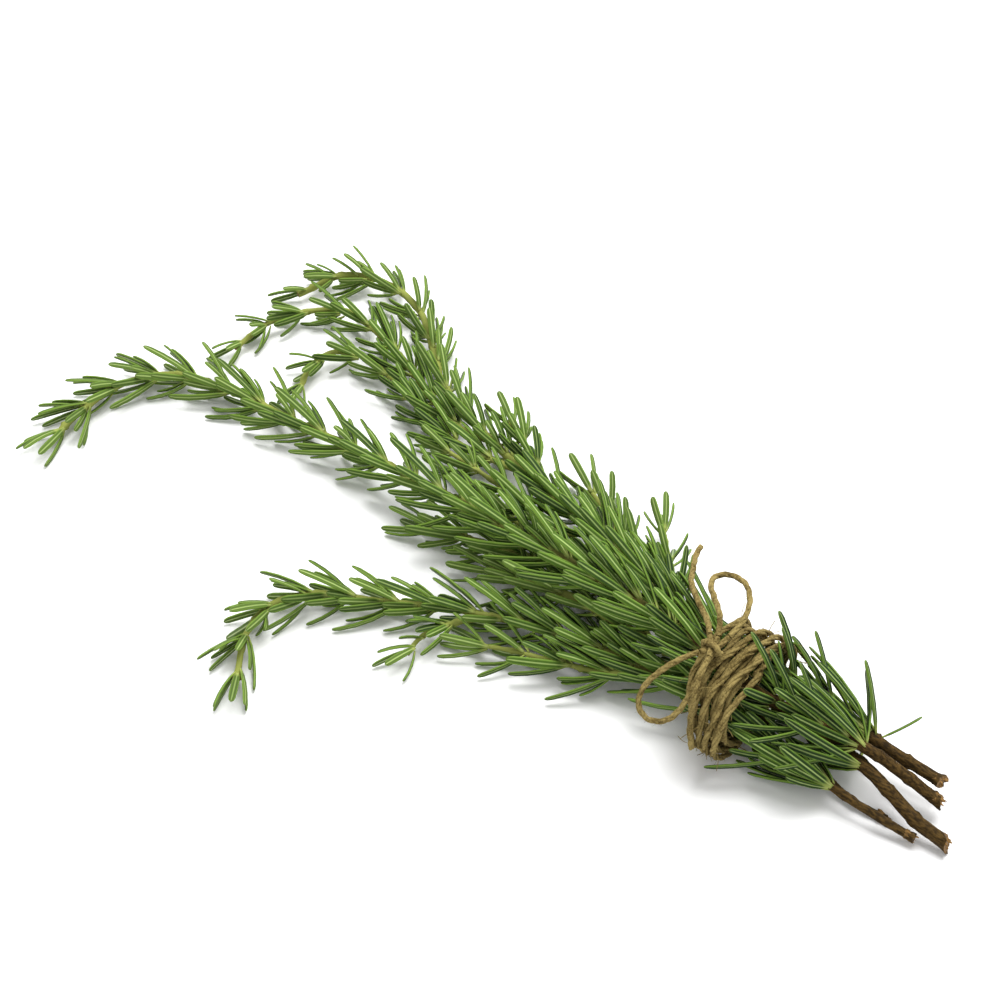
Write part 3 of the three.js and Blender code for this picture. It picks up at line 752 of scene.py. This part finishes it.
# the key light hangs high beyond the bunch, a little to the right
keyPlace = target + cameraRight * 0.3 + cameraAway * 0.5 + Vector((0, 0, 1.5))
areaLight("keyLight", keyPlace, studio["key"], studio["keySize"])
world = bpy.data.worlds.new("studio")
world.use_nodes = True
world.node_tree.nodes["Background"].inputs["Color"].default_value = (1, 1, 1, 1)
world.node_tree.nodes["Background"].inputs["Strength"].default_value = studio["fill"]
bpy.context.scene.world = world
bpy.context.scene.view_settings.view_transform = "Standard"

bpy.ops.mesh.primitive_plane_add(size=6, location=(0, 0, 0))
floor = bpy.context.object
floor.name = "floor"
floorMaterial, _, floorShader = newMaterial("paleFloor")
floorShader.inputs["Base Color"].default_value = studio["floor"]
floorShader.inputs["Roughness"].default_value = 0.9
floor.data.materials.append(floorMaterial)
print("camera, lights and floor set")


def twineTree():
    # three strands laid round one another, with loose fibres
    g, inputs = newTree("twistedTwine", {
        "Strand offset": ("Float", 0.00036), "Strand radius": ("Float", 0.00062), "Pitch": ("Float", 0.0105),
        "Fibres": ("Float", 70000.0), "Fibre length": ("Float", 0.0019), "Fray": ("Float", 0.0),
        "Jute": ("Material", None)})
    line = g.add("GeometryNodeMeshToCurve", None, {"Mesh": inputs["Geometry"]})
    line = g.add("GeometryNodeSetCurveNormal", {"mode": "MINIMUM_TWIST"}, {"Curve": line})
    arc = g.add("GeometryNodeSplineParameter", None, None, "Length")
    line = g.store(line, "arc", "FLOAT", arc)
    tangent = g.add("GeometryNodeInputTangent")
    normal = g.add("GeometryNodeInputNormal")
    side = g.cross(tangent, normal)
    ring = g.add("GeometryNodeCurvePrimitiveCircle", None, {"Resolution": 7, "Radius": 1.0})
    tubes = []
    for k in range(twine["strands"]):
        turn = g.named("arc") * math.tau / inputs["Pitch"] + k * math.tau / twine["strands"]
        wobble = g.noise(g.add("GeometryNodeInputPosition") + (k * 0.31, 0.0, 0.0), 260.0)
        reach = inputs["Strand offset"] * (0.72 + 0.56 * wobble)
        offset = normal * (g.math("COSINE", turn) * reach) + side * (g.math("SINE", turn) * reach)
        strand = g.add("GeometryNodeSetPosition", None, {"Geometry": line, "Offset": offset})
        tubes.append(g.sweep(strand, ring, inputs["Strand radius"] * (0.8 + 0.4 * wobble)))
    joined = g.add("GeometryNodeJoinGeometry")
    for tube in tubes:
        g.tree.links.new(tube.socket, joined.socket.node.inputs[0])
    height = g.parts(g.add("GeometryNodeInputPosition"))[2]
    offTable = g.math("GREATER_THAN", height, 0.003)
    spots = g.add("GeometryNodeDistributePointsOnFaces", None, {
        "Mesh": joined, "Density": inputs["Fibres"], "Seed": 4, "Selection": offTable})
    hairLine = g.add("GeometryNodeCurveQuadraticBezier", None,
                     {"Resolution": 4, "Start": (0, 0, 0), "Middle": (0.25, 0, 0.5), "End": (0.9, 0.1, 0.75)})
    hairRing = g.add("GeometryNodeCurvePrimitiveCircle", None, {"Resolution": 3, "Radius": 0.024})
    hair = g.sweep(hairLine, hairRing, 1.0)
    spin = g.add("FunctionNodeRandomValue", {"data_type": "FLOAT"}, {"Min": -3.14, "Max": 3.14, "Seed": 8}, 1)
    turned = g.add("FunctionNodeRotateRotation", {"rotation_space": "LOCAL"}, {
        "Rotation": spots["Rotation"],
        "Rotate By": g.add("FunctionNodeEulerToRotation", None, {"Euler": g.join(0.0, 0.0, spin)})})
    # most fibres are short; on frayed twine a few long ones stand off where there is room above the table
    luck = g.add("FunctionNodeRandomValue", {"data_type": "FLOAT"}, {"Min": 0.0, "Max": 1.0, "Seed": 9}, 1)
    size = g.math("POWER", luck, 7.0) * g.ramp(height, 0.004, 0.012) * inputs["Fray"] + 0.35 + 0.4 * luck
    hairs = g.add("GeometryNodeInstanceOnPoints", None, {
        "Points": spots, "Instance": hair, "Rotation": turned, "Scale": size * inputs["Fibre length"]})
    whole = g.add("GeometryNodeJoinGeometry")
    for part in (joined, hairs):
        g.tree.links.new(part.socket, whole.socket.node.inputs[0])
    endTree(g, g.add("GeometryNodeRealizeInstances", None, {"Geometry": whole}), inputs["Jute"])
    return g


twistedTwine = twineTree()
for name, cord in freeTwine.items():
    route, length = smoothRoute(cord["route"], 0.7)
    piece = runTree(name + "_cord", twistedTwine, lineMesh(name, [inFrame(route)], {}), {"Jute": jute})
    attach(piece, "root")
    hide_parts(name)
    length * mm

# the coil wanders a little from its even turns
coilLine, _ = smoothRoute(coilRoute()[::2], 0.9)
wander = np.array([[math.sin(0.31 * i + k) + 0.7 * math.sin(0.113 * i + 2 * k) for k in (0.4, 1.9, 3.1)]
                   for i in range(len(coilLine))])
coilLine = coilLine + wander * tie["wander"]
coilLine[:, 2] = np.maximum(coilLine[:, 2], tie["lowest"])
wound = {"twine_wraps": [coilLine],
         "twine_knot": [smoothRoute(route, 0.5)[0] for route in knot["strands"] + [bandRoute()]]}
for name, lines in wound.items():
    lay = twine["loose"] if name == "twine_wraps" else {}
    piece = runTree(name + "_strands", twistedTwine, lineMesh(name, [inFrame(line) for line in lines], {}),
                    {"Jute": jute, **lay})
    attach(piece, "root")
    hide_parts(name)
print("twine wound")


def stemTree():
    # a ridged, knobbly tube that swells at the leaf nodes and ends in a slanting, splintered cut
    g, inputs = newTree("barkedStem", {
        "Sides": ("Int", 14), "Ridge height": ("Float", 0.00016), "Node step": ("Float", 0.0115),
        "Bark": ("Material", None), "Cut wood": ("Material", None)})
    line = g.add("GeometryNodeMeshToCurve", None, {"Mesh": inputs["Geometry"]})
    line = g.add("GeometryNodeSetCurveNormal", {"mode": "MINIMUM_TWIST"}, {"Curve": line})
    arc = g.add("GeometryNodeSplineParameter", None, None, "Length")
    line = g.store(line, "arc", "FLOAT", arc)
    line = g.store(line, "axis", "FLOAT_VECTOR", g.add("GeometryNodeInputPosition"))
    line = g.store(line, "heading", "FLOAT_VECTOR", g.add("GeometryNodeInputTangent"))
    ring = g.add("GeometryNodeCurvePrimitiveCircle", None, {"Resolution": inputs["Sides"], "Radius": 1.0})
    tube = g.sweep(line, ring, g.named("stemRadius"))
    position = g.add("GeometryNodeInputPosition")
    outward = position - g.named("axis", "FLOAT_VECTOR")
    knobs = g.noise(position, 330.0, 3.0) - 0.5
    ridges = g.noise(position * (0.4, 1.6, 1.6), 900.0, 2.0) - 0.5
    wave = g.math("COSINE", g.named("arc") * math.tau / inputs["Node step"])
    nodeRing = g.math("POWER", wave * 0.5 + 0.5, 14.0)
    swell = knobs * 3.4 + ridges * 1.4 + nodeRing * (knobs * 9.0 + 2.2)
    atCut = 1 - g.ramp(g.named("arc"), 0.0005, 0.004)
    slant = g.dot(outward, g.named("cutSlant", "FLOAT_VECTOR")) * atCut
    splinter = (g.noise(position, 1500.0, 1.0) - 0.5) * 0.0042 * atCut
    heading = g.named("heading", "FLOAT_VECTOR")
    offset = g.unit(outward) * (swell * inputs["Ridge height"]) + heading * (slant + splinter)
    tube = g.add("GeometryNodeSetPosition", None, {"Geometry": tube, "Offset": offset})
    smooth = g.add("GeometryNodeSetShadeSmooth", None, {"Geometry": tube})
    barked = g.add("GeometryNodeSetMaterial", None, {"Geometry": smooth, "Material": inputs["Bark"]})
    # the only faces with more than five corners are the end caps
    faceCorners = g.add("GeometryNodeInputMeshFaceNeighbors", None, None, "Vertex Count")
    isCap = g.add("FunctionNodeCompare", {"data_type": "INT", "operation": "GREATER_THAN"},
                  {2: faceCorners, 3: 5})
    capped = g.add("GeometryNodeSetMaterial", None, {
        "Geometry": barked, "Material": inputs["Cut wood"], "Selection": isCap})
    out = g.tree.nodes.new("NodeGroupOutput")
    g.feed(out.inputs[0], g.add("GeometryNodeRealizeInstances", None, {"Geometry": capped}))
    return g


barkedStem = stemTree()
cutSlants = {
    "sprig_1": (0, 0.5, 0.3), "sprig_2": (0, -0.4, 0.5), "sprig_3": (0, 0.2, -0.6),
    "sprig_4": (0, 0.3, 0.75), "sprig_5": (0, 0.2, 0.2),
}
splinters = {"count": 6, "length": 2.2, "radii": (0.5, 0.34, 0.1)}
for name in sprigs:
    lines, columns = [], {"stemRadius": [], "age": [], "cutSlant": [], "fresh": []}
    for entry in (entry for entry in paths if entry["sprig"] == name):
        line, _ = smoothRoute(entry["route"], 1.2)
        s = np.linspace(0, 1, len(line))
        lines.append(inFrame(line))
        thick, thin = entry["radii"]
        isMain = entry["label"] == name
        columns["stemRadius"] += list((thick + (thin - thick) * s ** 0.8) * mm)
        columns["age"] += list(s if isMain else 0.55 + 0.45 * s)
        columns["cutSlant"] += [cutSlants[name] if isMain else (0, 0, 0)] * len(line)
        columns["fresh"] += [0] * len(line)
    cutFace = paths[[entry["label"] for entry in paths].index(name)]["path"]
    for k in range(splinters["count"]):
        turn, reach = k * 2.4 + len(name), splinters["length"] * (0.4 + 0.6 * chance(k, len(lines)))
        out = cutFace.n[0] * math.cos(turn) + cutFace.b[0] * math.sin(turn)
        foot = cutFace.p[0] + out * cutFace.r[0] * 0.62 + cutFace.t[0] * 2.5
        middle = foot - cutFace.t[0] * (1.6 + reach * 0.5)
        point = foot + out * 0.25 - cutFace.t[0] * (2 + reach)
        lines.append(inFrame([foot, middle, point]))
        columns["stemRadius"] += [radius * mm for radius in splinters["radii"]]
        columns["age"] += [0] * 3
        columns["cutSlant"] += [(0, 0, 0)] * 3
        columns["fresh"] += [0.5, 1, 1]
    piece = runTree(name + "_bark", barkedStem, lineMesh(name, lines, columns),
                    {"Bark": bark, "Cut wood": cutWood})
    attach(piece, "root")
    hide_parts(name + "_stem")
print("stems made")

blade = {
    "stations": (0, 0.06, 0.18, 0.4, 0.66, 0.88, 0.965, 1.0),
    "widths": (0.4, 0.5, 0.84, 0.97, 1.0, 0.92, 0.66, 0.2),
    # across, height and v of each corner of the section: upper side left to right, then the underside back
    "section": (
        (-1.0, -0.16, 0.0), (-0.84, 0.16, 0.08), (-0.44, 0.4, 0.28), (0, 0.14, 0.5), (0.44, 0.4, 0.72),
        (0.84, 0.16, 0.92), (1.0, -0.16, 1.0), (0.6, -0.5, 1.15), (0, -0.2, 1.5), (-0.6, -0.5, 1.85)),
    "halfWidth": 1.42,
    "fullLength": 22,        # shorter leaves are narrower too
}


def bladeMesh():
    mesh = bpy.data.meshes.new("blade")
    shape = bmesh.new()
    uv = shape.loops.layers.uv.new("blade")
    rings = []
    for u, width in zip(blade["stations"], blade["widths"]):
        thick = 0.35 + 0.65 * width
        rings.append([shape.verts.new((u, y * width, z * thick)) for y, z, _ in blade["section"]])
    count = len(blade["section"])
    vs = [v for _, _, v in blade["section"]]
    for i in range(len(rings) - 1):
        for k in range(count):
            nxt = (k + 1) % count
            face = shape.faces.new((rings[i][k], rings[i][nxt], rings[i + 1][nxt], rings[i + 1][k]))
            near, far = vs[k], vs[nxt] if nxt else 2.0
            here, ahead = blade["stations"][i], blade["stations"][i + 1]
            for loop, place in zip(face.loops, ((here, near), (here, far), (ahead, far), (ahead, near))):
                loop[uv].uv = place
    for ring, u in ((rings[0][::-1], 0), (rings[-1], 1)):
        for loop in shape.faces.new(ring).loops:
            loop[uv].uv = (u, 0.5)
    bmesh.ops.recalc_face_normals(shape, faces=shape.faces)
    shape.to_mesh(mesh)
    shape.free()
    return mesh


def leafTree():
    # a blade on every point, bent along its own curve and turned a little toward the tip
    g, inputs = newTree("needleLeaves", {
        "Blade": ("Object", None), "Thickness": ("Float", 0.8), "Leaf": ("Material", None)})
    template = g.add("GeometryNodeObjectInfo", None, {"Object": inputs["Blade"]}, "Geometry")
    placed = g.add("GeometryNodeInstanceOnPoints", None, {"Points": inputs["Geometry"], "Instance": template})
    solid = g.add("GeometryNodeRealizeInstances", None, {"Geometry": placed})
    base, middle, tip, face = (g.named(column, "FLOAT_VECTOR")
                               for column in ("leafBase", "leafBend", "leafTip", "leafFace"))
    u, v, w = g.parts(g.add("GeometryNodeInputPosition") - base)
    rest = 1 - u
    spine = base * (rest * rest) + middle * (2 * u * rest) + tip * (u * u)
    heading = g.unit((middle - base) * (rest * 2) + (tip - middle) * (u * 2))
    across = g.unit(g.cross(face, heading))
    upward = g.cross(heading, across)
    turn = g.named("leafTwist") * u
    cos, sin = g.math("COSINE", turn), g.math("SINE", turn)
    side = across * cos + upward * sin
    top = upward * cos - across * sin
    half = g.named("leafHalf")
    place = spine + side * (v * half) + top * (w * half * inputs["Thickness"])
    moved = g.add("GeometryNodeSetPosition", None, {"Geometry": solid, "Position": place})
    endTree(g, moved, inputs["Leaf"])
    return g


needleLeaves = leafTree()
bladeObject = bpy.data.objects.new("bladeTemplate", bladeMesh())
lowest = (growth["floorClear"] + growth["bladeClear"]) * mm
leafCount = 0
for entry in paths:
    for number in range(math.ceil(entry["whorls"] / growth["nodesPerPiece"])):
        leaves = [leaf for leaf in entry["leaves"] if leaf.piece == number]
        root = inFrame([leaf.root for leaf in leaves])
        tip = inFrame([leaf.tip for leaf in leaves])
        middle = inFrame([leaf.mid for leaf in leaves])
        bend = 2 * middle - (root + tip) / 2
        bend[:, 2] = np.maximum(bend[:, 2], lowest)
        tip[:, 2] = np.maximum(tip[:, 2], lowest)
        grown = np.array([min(1, leaf.length / blade["fullLength"]) for leaf in leaves])
        mesh = bpy.data.meshes.new(entry["label"])
        mesh.from_pydata(root.tolist(), [], [])
        fillColumns(mesh, {
            "leafBase": root, "leafBend": bend, "leafTip": tip,
            "leafFace": [leaf.face for leaf in leaves],
            "leafHalf": blade["halfWidth"] * (0.62 + 0.38 * grown) * mm,
            "leafTwist": [leaf.twist for leaf in leaves],
            "leafTone": [leaf.tone for leaf in leaves],
            "leafYoung": [leaf.young for leaf in leaves]})
        label = f"{entry['label']}_leaves_{number + 1}"
        piece = runTree(label + "_blades", needleLeaves, mesh, {"Blade": bladeObject, "Leaf": leafSkin})
        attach(piece, "root")
        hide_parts(label)
        leafCount += len(leaves)
print("leaves made:", leafCount)
